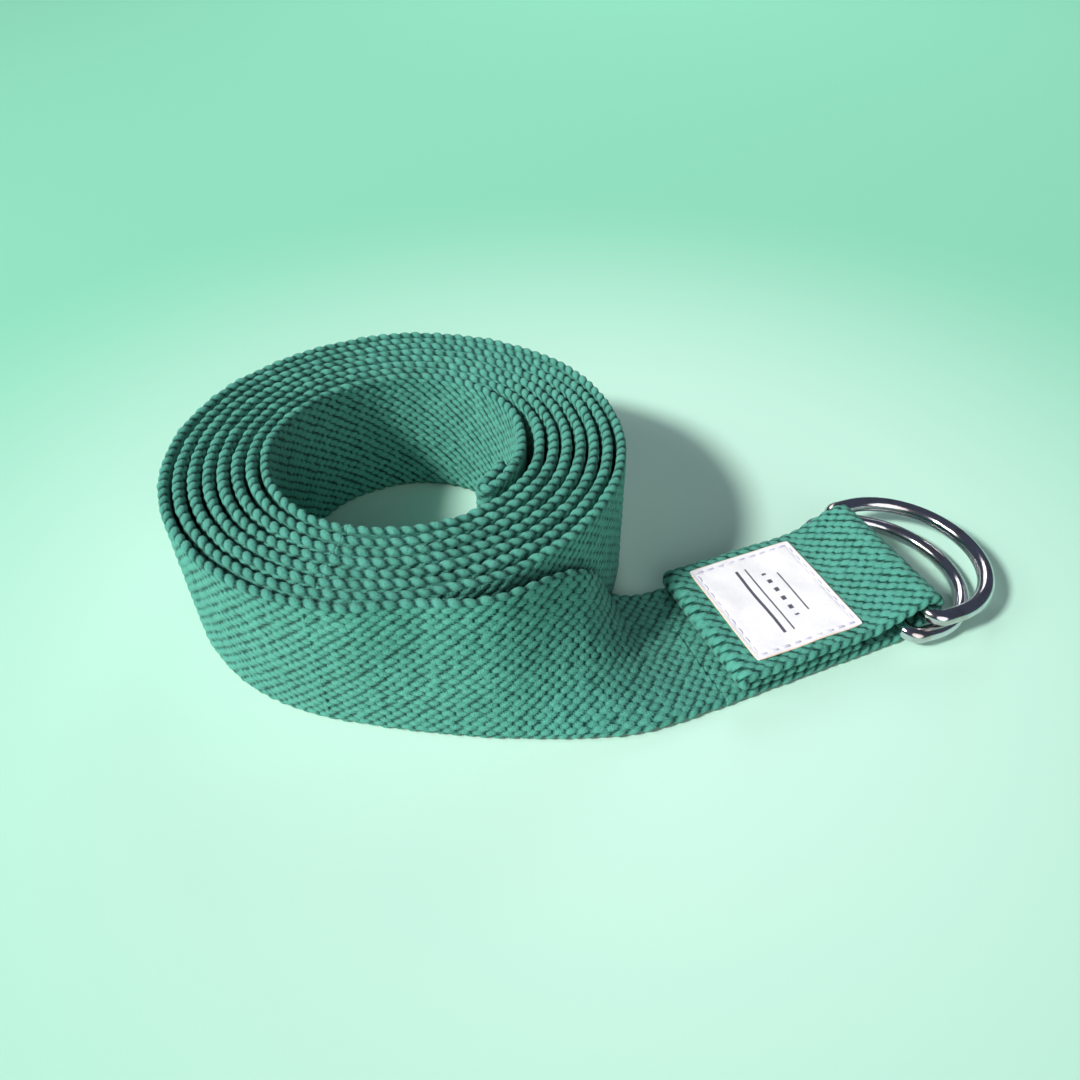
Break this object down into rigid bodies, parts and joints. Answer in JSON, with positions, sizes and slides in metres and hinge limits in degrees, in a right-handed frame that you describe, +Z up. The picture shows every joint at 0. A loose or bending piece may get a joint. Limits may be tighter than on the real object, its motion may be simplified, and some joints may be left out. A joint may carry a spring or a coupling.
{
  "type": "stretching strap",
  "caption": "Rolled flat cotton stretching strap whose outer end twists flat, folds round two D-rings and is sewn down under a cloth label.",
  "frame": {"origin": "centre of the footprint's box, on the floor", "axes": "+X along the flat end towards the D-rings, +Y across the strap away from its near edge, +Z up"},
  "size_m": [0.1944, 0.1416, 0.0381],
  "materials": {
    "webbing": "matte chunky plain-weave cotton",
    "thread": "matte sewing thread",
    "label_thread": "matte sewing thread",
    "label_cloth": "woven label cloth",
    "ring_metal": "polished plated steel wire"
  },
  "bodies": {
    "roll": {"webbing_roll": "webbing", "free_end_hem": "webbing", "free_end_hem_stitching": "thread", "webbing_twisted_tail": "webbing"},
    "flat_end": {"webbing_ring_loop": "webbing", "sewn_label": "label_cloth", "label_stitching": "label_thread", "underside_stitching": "thread"},
    "upper_ring": {"upper_d_ring": "ring_metal"},
    "lower_ring": {"lower_d_ring": "ring_metal"}
  },
  "joints": [
    {"name": "flat_end_lift", "type": "hinge", "parent": "roll", "child": "flat_end", "pos_m": [0.01075, -0.04711, 0.00347], "axis": [0, -0.9994, -0.0349], "range_deg": [0, 60]},
    {"name": "upper_ring_swing", "type": "hinge", "parent": "flat_end", "child": "upper_ring", "pos_m": [0.06665, -0.04732, 0.00929], "axis": [0, -0.9994, -0.0349], "range_deg": [0, 120]},
    {"name": "lower_ring_swing", "type": "hinge", "parent": "flat_end", "child": "lower_ring", "pos_m": [0.06065, -0.04719, 0.00577], "axis": [0, 0.9994, 0.0349], "range_deg": [0, 120]}
  ]
}
